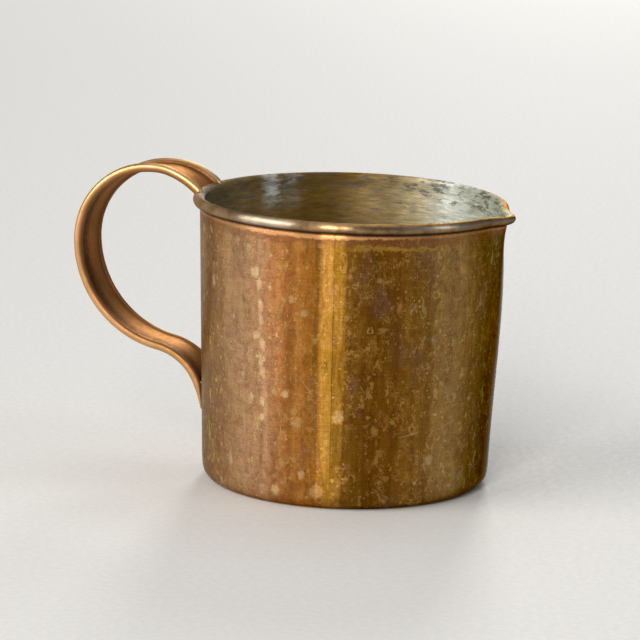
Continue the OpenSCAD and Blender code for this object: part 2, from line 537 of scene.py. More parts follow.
def edge_wire(name, side, material):
    """The wire that the strap's edge is rolled round."""
    stations = [s for s in handle_stations() if s[4] <= WIRE_END]
    points = []
    for station in stations:
        half, radius = edge_size(station[4])
        wire_r = radius - STRAP_T - GAP
        for a in np.arange(WIRE_SIDES) * 360 / WIRE_SIDES:
            y, n = side * half + wire_r * cos_deg(a), wire_r * sin_deg(a)
            points.append(handle_point(station, y, n))
    faces = band_faces(len(stations), WIRE_SIDES)
    faces = close_ends(faces, len(stations), WIRE_SIDES)
    return mesh_object(name, points, faces, material)


# Half the fillet's length, and its section as [distance out, height] round the rim's corner.
SOLDER_HALF = 9.6
SOLDER_STEPS = 12
SOLDER_SECTION = [
    (57.3, 105.2),
    (58.3, 105.9),
    (59.5, 106.7),
    (58.9, 105.4),
    (58.3, 104.3),
]


def upper_fillet(material):
    """Solder under the strap's end, in the corner that it makes with the rolled rim."""
    points = []
    for y in np.linspace(-SOLDER_HALF, SOLDER_HALF, SOLDER_STEPS + 1):
        sagitta = RIM_X - math.sqrt(RIM_X**2 - y * y)
        points += [(-out + sagitta, y, z) for out, z in SOLDER_SECTION]
    faces = band_faces(SOLDER_STEPS + 1, len(SOLDER_SECTION))
    faces = close_ends(faces, SOLDER_STEPS + 1, len(SOLDER_SECTION))
    return mesh_object("upper_fillet", points, faces, material)


# ---------------------------------------------------------------- materials


# The base inside this radius has one tone, and the wall outside the second has its own.
ONE_TONE_R = 30.0
WALL_TONE_R = 47.0


class Graph:
    """Short calls for building a node material. place is in millimetres, azimuth in degrees
    from +X, height in millimetres, and unrolled is [azimuth, height]."""

    def __init__(self, name):
        self.material = bpy.data.materials.new(name)
        self.material.use_nodes = True
        self.nodes = self.material.node_tree.nodes
        self.links = self.material.node_tree.links
        self.nodes.clear()
        place = self.node("ShaderNodeTexCoord").outputs["Object"]
        self.place = self.vector("SCALE", place, scale=1 / MM)
        parts = self.node("ShaderNodeSeparateXYZ", {0: self.place}).outputs
        turn = self.math("ARCTAN2", parts[1], parts[0])
        self.azimuth = self.math("MULTIPLY", turn, 180 / math.pi)
        self.height = parts[2]
        flat = self.vector("MULTIPLY", self.place, (1, 1, 0))
        radius = self.vector("LENGTH", flat)
        self.near_axis = self.span(radius, ONE_TONE_R, WALL_TONE_R, 1, 0)
        combined = self.node(
            "ShaderNodeCombineXYZ", {0: self.azimuth, 1: self.height}
        )
        self.unrolled = combined.outputs[0]

    def node(self, kind, inputs=None, **settings):
        made = self.nodes.new(kind)
        for key, value in settings.items():
            setattr(made, key, value)
        for key, value in (inputs or {}).items():
            if isinstance(value, bpy.types.NodeSocket):
                self.links.new(value, made.inputs[key])
            else:
                made.inputs[key].default_value = value
        return made

    def math(self, operation, a, b=0.0, clamp=False):
        made = self.node(
            "ShaderNodeMath", {0: a, 1: b}, operation=operation, use_clamp=clamp
        )
        return made.outputs[0]

    def times(self, a, b):
        return self.math("MULTIPLY", a, b)

    def away(self, value, middle):
        """Distance of a value from a middle one."""
        return self.math("ABSOLUTE", self.math("SUBTRACT", value, middle))

    def attribute(self, name):
        return self.node("ShaderNodeAttribute", attribute_name=name).outputs["Fac"]

    def vector(self, operation, a, b=(0.0, 0.0, 0.0), scale=1.0):
        inputs = {0: a, "Scale": scale} if operation == "SCALE" else {0: a, 1: b}
        made = self.node("ShaderNodeVectorMath", inputs, operation=operation)
        return made.outputs["Value" if operation == "LENGTH" else "Vector"]

    def stretched(self, x, y, z):
        """Object coordinates in millimetres, multiplied axis by axis."""
        return self.vector("MULTIPLY", self.place, (x, y, z))

    def noise(self, vector, scale, detail=3.0, roughness=0.5, output="Fac"):
        made = self.node(
            "ShaderNodeTexNoise",
            {
                "Vector": vector,
                "Scale": scale,
                "Detail": detail,
                "Roughness": roughness,
            },
        )
        return made.outputs[output]

    def span(self, value, low, high, to_low=0.0, to_high=1.0, soft=True):
        """A value carried from low..high to to_low..to_high, smoothly and clamped."""
        made = self.node(
            "ShaderNodeMapRange",
            {0: value, 1: low, 2: high, 3: to_low, 4: to_high},
            interpolation_type="SMOOTHSTEP" if soft else "LINEAR",
        )
        return made.outputs[0]

    def mix(self, factor, a, b, blend="MIX"):
        made = self.node("ShaderNodeMix", data_type="RGBA", blend_type=blend)
        for socket, value in zip(
            (made.inputs[0], made.inputs[6], made.inputs[7]), (factor, a, b)
        ):
            if isinstance(value, bpy.types.NodeSocket):
                self.links.new(value, socket)
            else:
                socket.default_value = value
        return made.outputs[2]

    def darker(self, factor, base, tint):
        """The base multiplied by a tint; above 1 it lightens."""
        return self.mix(factor, base, tint, "MULTIPLY")

    def ramp(self, value, stops):
        made = self.node("ShaderNodeValToRGB", {0: value})
        ramp_stops = made.color_ramp.elements
        while len(ramp_stops) < len(stops):
            ramp_stops.new(0.5)
        for stop, (position, colour) in zip(ramp_stops, stops):
            stop.position = position
            stop.color = (*colour, 1)
        return made.outputs[0]

    def round_azimuth(self, azimuth, tones):
        """A colour by azimuth, from [degrees, colour] stops."""
        around = self.span(azimuth, -180, 180, soft=False)
        return self.ramp(around, [((a + 180) / 360, tone) for a, tone in tones])

    def spots(self, vector, scale, radius, share, soft=0.35):
        """Round spots in a share of the cells of a Voronoi pattern; radius in cells."""
        cells = self.node("ShaderNodeTexVoronoi", {"Vector": vector, "Scale": scale})
        tone = self.node("ShaderNodeSeparateColor", {0: cells.outputs["Color"]})
        size = self.span(tone.outputs[1], 0, 1, 0.45 * radius, radius, soft=False)
        inner = self.times(size, 1 - soft)
        inside = self.span(cells.outputs["Distance"], inner, size, 1.0, 0.0)
        chosen = self.math("LESS_THAN", tone.outputs[0], share)
        return self.times(inside, chosen)

    def stains(self, vector, places, size=1.0):
        """Nearness to the closest of several ellipses on the unrolled wall, 1 inside.
        Each is [azimuth, height, half width, half height, tilt] in millimetres and degrees."""
        nearest = None
        for azimuth, height, half_w, half_h, tilt in places:
            to_degrees = 360 / (TAU * wall_r(height))
            moved = self.node(
                "ShaderNodeMapping",
                {
                    "Vector": vector,
                    "Location": (azimuth, height, 0),
                    "Rotation": (0, 0, math.radians(tilt)),
                    "Scale": (size * half_w * to_degrees, size * half_h, 1),
                },
                vector_type="TEXTURE",
            ).outputs[0]
            away = self.vector("LENGTH", moved)
            if nearest is None:
                nearest = away
            else:
                nearest = self.math("MINIMUM", nearest, away)
        return nearest

    def inside(self, nearest, soft=0.25):
        """1 inside the stains that stains() measured, with a soft edge."""
        return self.span(nearest, 1 - soft, 1 + soft, 1, 0)

    def bump(self, height, strength, distance, normal=None):
        inputs = {"Strength": strength, "Distance": distance, "Height": height}
        if normal is not None:
            inputs["Normal"] = normal
        return self.node("ShaderNodeBump", inputs).outputs[0]

    def finish(self, **sockets):
        shader = self.node(
            "ShaderNodeBsdfPrincipled",
            {key.replace("_", " "): value for key, value in sockets.items()},
        )
        self.node("ShaderNodeOutputMaterial", {0: shader.outputs[0]})
        return self.material


def colour(red, green, blue):
    """A linear colour with full alpha."""
    return (red, green, blue, 1)


# Patina of the wall by azimuth in degrees: handle, front, lip, back and handle again. The
# tones from -150 to 15 were set in rounds: a scratch script printed how far the render was from
# the photograph, and each was changed by about that much and rounded. The rest are made up.
# Besides the patina, these tones hold painted light: bright upright bands at the front where
# the windows are painted as reflections, a broad painted highlight towards the handle, and
# painted shade on the lip side.
PATINA_AND_REFLECTIONS = [
    (-180, (0.30, 0.17, 0.065)),
    (-150, (0.25, 0.14, 0.042)),
    (-136, (0.31, 0.162, 0.075)),
    (-122, (0.60, 0.355, 0.19)),
    (-110, (0.62, 0.35, 0.19)),
    (-104, (0.50, 0.21, 0.075)),
    (-93, (0.55, 0.225, 0.045)),
    (-86.8, (0.40, 0.155, 0.019)),
    (-85.3, (0.37, 0.17, 0.026)),
    (-77.6, (0.32, 0.17, 0.021)),
    (-75.8, (0.27, 0.125, 0.014)),
    (-66, (0.205, 0.083, 0.006)),
    (-58, (0.24, 0.10, 0.009)),
    (-45, (0.30, 0.145, 0.021)),
    (-34, (0.33, 0.19, 0.065)),
    (-28, (0.36, 0.21, 0.065)),
    (-20, (0.255, 0.137, 0.028)),
    (-8, (0.17, 0.112, 0.045)),
    (15, (0.175, 0.12, 0.055)),
    (40, (0.30, 0.145, 0.03)),
    (58, (0.36, 0.16, 0.04)),
    (70, (0.46, 0.22, 0.07)),
    (84, (0.40, 0.17, 0.04)),
    (91, (0.52, 0.26, 0.06)),
    (97, (0.48, 0.26, 0.055)),
    (100, (0.33, 0.15, 0.03)),
    (112, (0.30, 0.14, 0.03)),
    (122, (0.42, 0.22, 0.08)),
    (136, (0.46, 0.25, 0.12)),
    (155, (0.33, 0.17, 0.06)),
    (180, (0.30, 0.17, 0.065)),
]

# Tinning by azimuth, in the same order. The tones from 15 to 180 were set in the same way.
# Besides the tin's tone, these hold painted light: a bright painted highlight round 62 degrees,
# and darker, browner tones from 90 to 160.
TIN_TONES_AND_REFLECTIONS = [
    (-180, (0.22, 0.17, 0.085)),
    (-120, (0.26, 0.21, 0.12)),
    (-75, (0.36, 0.32, 0.20)),
    (-30, (0.48, 0.47, 0.36)),
    (15, (0.50, 0.53, 0.45)),
    (35, (0.50, 0.54, 0.46)),
    (48, (0.56, 0.61, 0.52)),
    (62, (0.74, 0.80, 0.74)),
    (70, (0.48, 0.45, 0.36)),
    (80, (0.42, 0.34, 0.19)),
    (90, (0.23, 0.16, 0.07)),
    (103, (0.16, 0.10, 0.026)),
    (115, (0.15, 0.082, 0.012)),
    (130, (0.16, 0.09, 0.014)),
    (145, (0.16, 0.09, 0.022)),
    (160, (0.17, 0.125, 0.05)),
    (180, (0.22, 0.17, 0.085)),
]

# Stains and scratches as [azimuth, height, half width, half height, tilt], in degrees and
# millimetres. Their places were picked by eye on the photograph, carried onto the wall by a
# scratch script through the fitted camera and rounded; sizes and tilts were judged by eye.
PALE_STAINS = [
    (-113, 85, 1.9, 2.0, 0),
    (-111, 81, 1.3, 2.2, 10),
    (-106, 80, 0.9, 0.9, 0),
    (-110, 73, 1.1, 2.1, 5),
    (-110, 68, 1.1, 2.2, 10),
    (-112, 62, 1.6, 1.6, 0),
    (-109, 59, 1.3, 2.4, 20),
    (-110, 53, 1.1, 2.6, 0),
    (-109, 49, 1.2, 2.2, 10),
    (-114, 39, 1.3, 1.4, 0),
    (-109, 38, 1.0, 2.0, 0),
    (-109, 32, 0.8, 1.5, 0),
    (-99, 42, 1.6, 1.8, 10),
    (-126, 14, 1.4, 2.4, 0),
    (-103, 6, 1.9, 2.3, 15),
    (-92, 13, 1.2, 2.2, 0),
    (-92, 72, 1.3, 1.4, 0),
    (-124, 67, 1.2, 1.5, 0),
    (-138, 78, 1.3, 2.4, 0),
    (-41, 18, 1.7, 1.8, 10),
    (-29, 7, 1.3, 1.1, 0),
    (-39, 35, 0.6, 0.8, 40),
]

GREY_STAINS = [
    (-94, 32, 2.5, 2.2, 20),
    (-86, 7, 2.9, 2.3, 10),
    (-24, 10, 1.7, 2.0, 0),
    (-41, 62, 1.3, 2.3, 5),
    (-50, 75, 0.9, 1.8, 0),
    (-97, 77, 1.0, 1.6, 0),
    (-86, 97, 1.4, 1.1, 0),
    (-78, 35, 2.0, 2.4, 0),
    (-122, 96, 1.2, 1.0, 0),
    (-33, 42, 1.2, 3.2, 0),
]

ORANGE_STAINS = [
    (-89, 30, 1.7, 1.2, -10),
    (-64, 30, 1.3, 1.9, 0),
    (-64, 85, 1.1, 1.2, 30),
    (-62, 67, 2.2, 0.8, 0),
    (-56, 75, 0.9, 1.9, -15),
    (-28, 87, 2.2, 2.0, 0),
    (-74, 89, 1.1, 0.9, 20),
    (-75, 86, 0.8, 1.0, 0),
    (-100, 26, 1.8, 1.6, 0),
]

RING_STAINS = [
    (-41, 79, 1.3, 1.2, 0),
    (-67, 67, 0.9, 0.9, 0),
    (-85, 4, 1.3, 1.1, 0),
    (-73, 83, 0.9, 0.8, 0),
    (-49, 30, 1.0, 1.6, 0),
    (-106, 73, 1.1, 1.0, 0),
]

SCRATCHES = [
    (-30, 91, 0.16, 8.5, 4),
    (-34, 30, 5.5, 0.2, 18),
    (-50, 28, 4.0, 0.3, 10),
    (-116, 8, 4.2, 0.2, -50),
    (-91, 46, 4.6, 0.2, -48),
]
# A painted reflection: the dark gap between the window panes, upright in the golden band.
FRAME_REFLECTION = [(-80.6, 52, 0.2, 46.0, 0)]

# Azimuths of the middle of the front and of its golden band, where the windows' reflection is
# painted into the patina.
FRONT = -75.0
REFLECTION_BAND_MIDDLE = -81.2

# Heights of the painted highlight line below the roll and of the painted shade in the crease
# above it.
HIGHLIGHT_LINE_FROM = 100.3
HIGHLIGHT_LINE_TO = 100.9
CREASE_SHADE_FROM = 101.2

# Heights where the tide line and the dark copper above it begin.
TIDE_FROM = 99.2
TIDE_TO = 100.4

NOISE_MIDDLE = (0.5, 0.5, 0.5)
RAGGED = (2.2, 2.2, 0)


def patina_and_reflection_band(g, azimuth):
    """Golden, orange and mauve patina in soft upright bands, with the windows' reflection
    painted into it as a golden band, and the clouds over it.
    """
    base = g.round_azimuth(azimuth, PATINA_AND_REFLECTIONS)
    base = g.mix(g.near_axis, base, colour(0.30, 0.15, 0.05))
    # Painted reflection: the golden band is lightened, with sharp edges, where the windows are
    # reflected.
    off_reflection_band = g.away(g.azimuth, REFLECTION_BAND_MIDDLE)
    base = g.darker(g.span(off_reflection_band, 4.7, 5.1, 1, 0), base, colour(1.36, 1.38, 1.35))
    clouds = g.noise(g.stretched(1, 1, 0.5), 0.09, 5, 0.62)
    base = g.mix(g.span(clouds, 0.52, 0.72, 0, 0.55), base, colour(0.33, 0.17, 0.115))
    base = g.mix(g.span(clouds, 0.30, 0.46, 0.45, 0), base, colour(0.40, 0.20, 0.035))

    columns = g.noise(g.stretched(1, 1, 0.015), 0.16, 3, 0.6)
    base = g.darker(g.span(columns, 0.38, 0.64, 0, 0.45), base, colour(0.66, 0.6, 0.52))
    bands = g.node(
        "ShaderNodeTexNoise",
        {"W": azimuth, "Scale": 0.22, "Detail": 4.0, "Roughness": 0.7},
        noise_dimensions="1D",
    ).outputs["Fac"]
    fronting = g.span(g.away(g.azimuth, FRONT), 25, 45, 1, 0.3)
    banded = g.times(g.span(bands, 0.44, 0.60), fronting)
    base = g.darker(g.times(banded, 0.5), base, colour(0.62, 0.5, 0.36))
    return base, clouds


def water_spots(g, base, jitter):
    """Water spots of every size, pale green towards the handle and golden at the front."""
    place = g.vector("ADD", g.place, g.vector("SCALE", jitter, scale=1.0))
    large = g.spots(place, 0.22, 0.30, 0.22, 0.5)
    middling = g.spots(g.vector("ADD", place, (13, 5, 8)), 0.42, 0.32, 0.35, 0.5)
    small = g.spots(g.vector("ADD", place, (3, 17, 4)), 0.95, 0.36, 0.5, 0.8)
    patches = g.noise(g.place, 0.06, 3, 0.55)
    thick = g.span(patches, 0.36, 0.62, 0.15, 1)
    off_front = g.span(g.away(g.azimuth, -78.0), 10, 40, 0.45, 1)
    speckled = g.math("MAXIMUM", large, g.math("MAXIMUM", middling, small))
    speckled = g.times(speckled, g.times(thick, off_front))
    tone = g.mix(
        g.span(g.away(g.azimuth, FRONT), 15, 32),
        colour(0.60, 0.34, 0.09),
        colour(0.52, 0.41, 0.16),
    )
    return g.mix(g.times(speckled, 0.6), base, tone), speckled, tone


def flecks(g, base, speck_tone):
    """Torn little flecks, thickest towards the handle, the edges of tide marks, and pits."""
    place = g.stretched(1, 1, 0.6)
    torn = g.math(
        "MAXIMUM",
        g.span(g.noise(place, 0.27, 4, 0.65), 0.605, 0.64),
        g.span(g.noise(g.vector("ADD", place, (9, 4, 7)), 0.62, 3, 0.6), 0.62, 0.655),
    )
    near_handle = g.span(g.azimuth, -112, -96, 0.8, 0.38)
    tone = g.mix(g.span(g.azimuth, -118, -92), colour(0.50, 0.39, 0.15), speck_tone)
    base = g.mix(g.times(torn, near_handle), base, tone)
    marks = g.noise(g.stretched(1, 1, 0.8), 0.17, 5, 0.7)
    for middle, tone, amount in (
        (0.56, (0.58, 0.36, 0.12), 0.40),
        (0.44, (0.10, 0.045, 0.012), 0.45),
    ):
        edge = g.span(g.away(marks, middle), 0.003, 0.014, amount, 0)
        base = g.mix(edge, base, colour(*tone))
    pits = g.spots(g.vector("ADD", g.place, (31, 7, 5)), 0.85, 0.3, 0.12)
    return g.mix(g.times(pits, 0.35), base, colour(0.10, 0.05, 0.02))


def torn_stains(g, base, jitter):
    """The larger stains, each in its own place, with torn edges."""
    torn = g.noise(g.place, 0.9, 4, 0.7, "Color")
    tear = g.vector("SUBTRACT", torn, NOISE_MIDDLE)
    ragged = g.vector("ADD", g.unrolled, g.vector("MULTIPLY", jitter, RAGGED))
    ragged = g.vector("ADD", ragged, g.vector("MULTIPLY", tear, RAGGED))
    pale = g.inside(g.stains(ragged, PALE_STAINS, 0.8), 0.7)
    grey = g.inside(g.stains(ragged, GREY_STAINS, 0.85), 0.6)
    orange = g.inside(g.stains(ragged, ORANGE_STAINS, 0.9), 0.6)
    ring_edge = g.away(g.stains(ragged, RING_STAINS), 1.0)
    rings = g.span(ring_edge, 0.1, 0.4, 1, 0)
    base = g.mix(g.times(grey, 0.4), base, colour(0.28, 0.22, 0.12))
    base = g.mix(g.times(orange, 0.5), base, colour(0.55, 0.27, 0.08))
    base = g.mix(g.times(rings, 0.5), base, colour(0.56, 0.34, 0.10))
    base = g.mix(g.times(pale, 0.42), base, colour(0.44, 0.38, 0.20))
    return base, g.math("MAXIMUM", pale, grey)


def tide_line(g, base, azimuth, level):
    """Below the roll the copper has stayed dark, down to a wavy golden tide line."""
    tide = g.math("ADD", level, g.times(g.noise(g.place, 0.22, 3, 0.6), 7.0))
    dark = g.span(tide, TIDE_TO, TIDE_TO + 1.2)
    begun = g.span(tide, TIDE_FROM, TIDE_FROM + 1.0)
    line = g.times(begun, g.span(tide, TIDE_TO, TIDE_TO + 1.2, 1, 0))
    line = g.times(line, g.span(g.away(azimuth, -57.0), 14, 20, 1, 0))
    base = g.mix(g.times(dark, 0.45), base, colour(0.24, 0.09, 0.04))
    return g.mix(g.times(line, 0.6), base, colour(0.50, 0.27, 0.04))


def highlight_line_and_crease_shade(g, base, azimuth, level, mottle):
    """A bright painted highlight line under the roll, and painted shade in the crease above it,
    where the roll meets the wall.
    """
    wavy = g.math("ADD", level, g.times(g.span(mottle, 0.3, 0.7), 0.8))
    widest = g.span(g.away(azimuth, -98.0), 14, 34, 1, 0)
    wavy = g.math("ADD", wavy, g.times(widest, 0.6))
    rubbed = g.times(
        g.span(wavy, HIGHLIGHT_LINE_FROM, HIGHLIGHT_LINE_FROM + 0.8),
        g.span(level, HIGHLIGHT_LINE_TO, HIGHLIGHT_LINE_TO + 0.4, 1, 0),
    )
    # Painted highlight: the bright line is strongest round -88 degrees and weaker to the sides.
    facing = g.span(g.away(azimuth, -88.0), 22, 44, 0.8, 0.3)
    base = g.mix(g.times(rubbed, facing), base, colour(0.85, 0.43, 0.19))
    # Painted shade: the crease where the roll meets the wall is darkened.
    corner = g.span(level, CREASE_SHADE_FROM, CREASE_SHADE_FROM + 0.5)
    return g.mix(g.times(corner, 0.9), base, colour(0.035, 0.014, 0.005))


def scratches_and_frame_reflection(g, base, drift):
    """Bright scratches, and one upright dark line in the golden band, a painted reflection of
    the gap between the window panes.
    """
    place = g.vector("ADD", g.unrolled, g.vector("MULTIPLY", drift, (2.0, 0.0, 0)))
    scratched = g.inside(g.stains(place, SCRATCHES), 0.5)
    base = g.mix(g.times(scratched, 0.25), base, colour(0.72, 0.50, 0.27))
    # Painted reflection: the dark line where the gap between the window panes is reflected.
    line = g.inside(g.stains(place, FRAME_REFLECTION), 0.8)
    return g.mix(g.times(line, 0.7), base, colour(0.12, 0.05, 0.005)), scratched


def rim_copper_with_painted_light(g, round_roll):
    """The rolled rim is browner and more even than the wall, with a pale painted highlight
    towards the handle, a grey painted highlight on its outer face towards the lip, and painted
    shade on its underside.
    """
    tone = g.mix(
        g.span(g.noise(g.place, 0.25, 4, 0.6), 0.4, 0.65),
        colour(0.36, 0.235, 0.12),
        colour(0.22, 0.13, 0.06),
    )
    grain = g.noise(g.stretched(1, 1, 3), 1.1, 5, 0.7)
    tone = g.mix(g.span(grain, 0.5, 0.7, 0, 0.6), tone, colour(0.14, 0.07, 0.025))
    # Painted highlight: the roll is paler round -108 degrees.
    painted_shine = g.span(g.away(g.azimuth, -108), 5, 18, 0.42, 0)
    tone = g.mix(painted_shine, tone, colour(0.60, 0.53, 0.44))
    # Painted highlight: grey on the roll's outer face towards the lip.
    grey_sheen_by_lip = g.span(g.away(g.azimuth, -25), 20, 40, 0.6, 0)
    outward = g.span(g.away(round_roll, 20), 10, 26, 1, 0)
    tone = g.mix(g.times(grey_sheen_by_lip, outward), tone, colour(0.40, 0.38, 0.34))
    # Painted shade: the underside of the roll is darkened.
    underside_shade = g.span(round_roll, -65, -10, 0.9, 0)
    tone = g.mix(underside_shade, tone, colour(0.04, 0.014, 0.005))
    top_edge = g.span(round_roll, 50, 80, 0, 0.6)
    return g.mix(top_edge, tone, colour(0.16, 0.085, 0.035))


def copper_wall():
    """Old copper: patina with painted reflections and painted shade, water spots, stains,
    scratches, a dull rim with painted highlights and shade, and a tinned edge.
    """
    g = Graph("aged_copper_wall")
    coarse = g.noise(g.stretched(1, 1, 0.35), 0.045, 4, 0.6, "Color")
    drift = g.vector("SUBTRACT", coarse, NOISE_MIDDLE)
    fine = g.noise(g.place, 0.55, 3, 0.6, "Color")
    jitter = g.vector("SUBTRACT", fine, NOISE_MIDDLE)
    drifted = g.vector("ADD", g.unrolled, g.vector("MULTIPLY", drift, (16, 0, 0)))
    azimuth = g.node("ShaderNodeSeparateXYZ", {0: drifted}).outputs[0]
    level = g.attribute("level")
    on_rim = g.attribute("rim")
    round_roll = g.attribute("round_roll")

    base, clouds = patina_and_reflection_band(g, azimuth)
    streaks = g.noise(g.stretched(1, 1, 0.02), 1.1, 3, 0.6)
    base = g.darker(g.span(streaks, 0.4, 0.64, 0, 0.12), base, colour(0.6, 0.55, 0.5))
    mottle = g.noise(g.stretched(1, 1, 0.7), 0.42, 6, 0.72)
    base = g.darker(g.span(mottle, 0.42, 0.66, 0, 0.6), base, colour(0.6, 0.52, 0.42))
    base, speckled, speck_tone = water_spots(g, base, jitter)
    base = flecks(g, base, speck_tone)
    base, stained = torn_stains(g, base, jitter)
    hair = g.noise(g.stretched(0.05, 0.05, 1), 2.6, 2, 0.5)
    base = g.darker(g.span(hair, 0.35, 0.6, 0.22, 0), base, colour(0.4, 0.38, 0.35))
    base = tide_line(g, base, azimuth, level)
    base = highlight_line_and_crease_shade(g, base, azimuth, level, mottle)
    base, scratched = scratches_and_frame_reflection(g, base, drift)
    base = g.mix(on_rim, base, rim_copper_with_painted_light(g, round_roll))

    # The tinning runs over the top of the roll to a ragged edge, less far by the handle.
    ragged_edge = g.math("ADD", round_roll, g.times(mottle, 26.0))
    by_handle = g.span(g.away(g.azimuth, 0.0), 145, 172, 0, 34)
    tinned = g.span(g.math("SUBTRACT", ragged_edge, by_handle), 98, 110)
    base = g.mix(tinned, base, wiped_tin_and_highlights(g)[0])

    # Spots, stains, the far side and the tinning are duller than bare copper.
    dull = g.math("MAXIMUM", stained, speckled)
    far_side = g.math(
        "MAXIMUM", g.span(azimuth, -136, -116, 1, 0), g.span(azimuth, 130, 160)
    )
    roughness = g.span(clouds, 0.35, 0.7, 0.16, 0.28)
    for mask, extra in ((dull, 0.22), (on_rim, 0.16), (far_side, 0.16), (tinned, 0.2)):
        roughness = g.math("ADD", roughness, g.times(mask, extra))
    dull = g.math("ADD", g.times(dull, 0.35), g.times(far_side, 0.4))
    dull = g.math("ADD", dull, g.times(tinned, 0.4), clamp=True)

    relief = g.math("ADD", g.times(streaks, 0.25), g.times(mottle, 0.35))
    relief = g.math("SUBTRACT", relief, g.times(scratched, 0.5))
    soft_waves = g.bump(g.noise(g.stretched(1, 1, 0.25), 0.06, 2, 0.5), 0.5, 0.0006)
    tangent = g.node("ShaderNodeTangent", direction_type="RADIAL", axis="Z")
    return g.finish(
        Base_Color=base,
        Metallic=g.math("SUBTRACT", 1.0, dull),
        Roughness=roughness,
        Specular_Tint=colour(0.42, 0.33, 0.22),
        Anisotropic=0.9,
        Anisotropic_Rotation=0.25,
        Tangent=tangent.outputs[0],
        Normal=g.bump(relief, 0.25, 0.00012, soft_waves),
    )


def copper_handle():
    """Warm copper rubbed smooth by hands, browner in the hollow of the strap, with painted
    shade beside the rolled edges.
    """
    g = Graph("rubbed_copper_handle")
    hollow = g.attribute("hollow")
    warm = g.noise(g.place, 0.07, 4, 0.6)
    base = g.mix(
        g.span(warm, 0.38, 0.62), colour(0.64, 0.40, 0.22), colour(0.56, 0.34, 0.14)
    )
    blush = g.noise(g.vector("ADD", g.place, (40, 0, 0)), 0.11, 3, 0.55)
    base = g.mix(g.span(blush, 0.5, 0.7, 0, 0.5), base, colour(0.66, 0.38, 0.24))
    grime = g.noise(g.place, 0.6, 5, 0.7)
    base = g.darker(g.span(grime, 0.5, 0.75, 0, 0.3), base, colour(0.6, 0.5, 0.4))
    rubbed_brown = g.mix(
        g.span(warm, 0.4, 0.6), colour(0.34, 0.125, 0.038), colour(0.25, 0.10, 0.028)
    )
    base = g.mix(g.times(hollow, 0.85), base, rubbed_brown)
    # Painted shade: dark beside the rolled edges and over the -Y half of the inner face.
    crease_shade = g.times(g.attribute("crease_shade"), g.span(grime, 0.3, 0.6, 0.6, 0.85))
    base = g.mix(crease_shade, base, colour(0.055, 0.022, 0.007))
    specks = g.spots(g.place, 0.7, 0.25, 0.1)
    base = g.mix(g.times(specks, 0.3), base, colour(0.2, 0.1, 0.04))
    roughness = g.span(grime, 0.35, 0.7, 0.36, 0.47)
    hairlines = g.noise(g.stretched(1, 6, 1), 0.5, 4, 0.6)
    return g.finish(
        Base_Color=base,
        Metallic=g.span(hollow, 0.2, 1.0, 0.95, 0.8),
        Specular_Tint=colour(0.6, 0.45, 0.3),
        Roughness=g.math("ADD", roughness, g.times(hollow, 0.1)),
        Normal=g.bump(hairlines, 0.10, 0.0001, g.bump(warm, 0.4, 0.0006)),
    )


def blue_highlight(g, swirl):
    """Two bluish painted highlights under the rim, reflections of a window in the tin, their
    edges drawn along the wiping marks.
    """
    uneven = g.math("SUBTRACT", g.azimuth, g.times(swirl, 14.0))
    wide, narrow = 139.5 - 7.0, 130.0 - 7.0
    patch = g.math(
        "MAXIMUM",
        g.span(g.away(uneven, wide), 1.5, 6.5, 1, 0),
        g.span(g.away(uneven, narrow), 1.0, 6.0, 0.5, 0),
    )
    below_rim = g.span(g.math("ADD", g.height, g.times(swirl, 14.0)), 97, 106)
    patch = g.times(patch, below_rim)
    return g.times(patch, g.span(swirl, 0.35, 0.55, 1, 0.45))


def wiped_tin_and_highlights(g):
    """Old tinning, wiped round, with dark worn streaks and painted highlights: its colour and
    the wiping marks.
    """
    swirl = g.noise(g.stretched(0.3, 0.3, 1), 0.35, 5, 0.65)
    base = g.round_azimuth(g.azimuth, TIN_TONES_AND_REFLECTIONS)
    base = g.mix(g.near_axis, base, colour(0.30, 0.27, 0.20))
    # Painted highlight: the bluish patches are mixed into the tin's colour.
    base = g.mix(g.times(blue_highlight(g, swirl), 0.8), base, colour(0.50, 0.57, 0.58))
    base = g.darker(g.span(swirl, 0.42, 0.6, 0.0, 0.5), base, colour(0.62, 0.55, 0.40))
    rubbed = g.noise(g.stretched(0.14, 0.14, 1.2), 1.1, 5, 0.7)
    base = g.darker(g.span(rubbed, 0.50, 0.66, 0, 0.6), base, colour(1.7, 1.7, 1.75))
    base = g.darker(g.span(rubbed, 0.34, 0.48, 0.7, 0), base, colour(0.5, 0.46, 0.4))
    streaky = g.vector("ADD", g.stretched(0.22, 0.22, 1.0), (3, 9, 2))
    near_rim = g.span(g.height, 90, 103, 0.0, 0.10)
    worn = g.math("ADD", g.noise(streaky, 0.6, 6, 0.75), near_rim)
    worn = g.span(worn, 0.61, 0.67)
    base = g.mix(g.times(worn, 0.75), base, colour(0.07, 0.075, 0.075))
    blots = g.spots(g.vector("ADD", g.place, (5, 3, 9)), 0.07, 0.24, 0.35, 0.6)
    blots = g.times(blots, g.span(swirl, 0.4, 0.55, 0.4, 1))
    return g.mix(g.times(blots, 0.6), base, colour(0.09, 0.085, 0.08)), swirl


def tin_lining():
    """The same tinning on the inside, a little dented."""
    g = Graph("wiped_tin_and_highlights")
    base, swirl = wiped_tin_and_highlights(g)
    dents = g.noise(g.place, 0.05, 4, 0.6)
    tangent = g.node("ShaderNodeTangent", direction_type="RADIAL", axis="Z")
    return g.finish(
        Base_Color=base,
        Metallic=0.5,
        Roughness=g.span(swirl, 0.35, 0.65, 0.32, 0.50),
        Anisotropic=0.4,
        Anisotropic_Rotation=0.25,
        Tangent=tangent.outputs[0],
        Normal=g.bump(swirl, 0.3, 0.0002, g.bump(dents, 0.35, 0.0012)),
    )


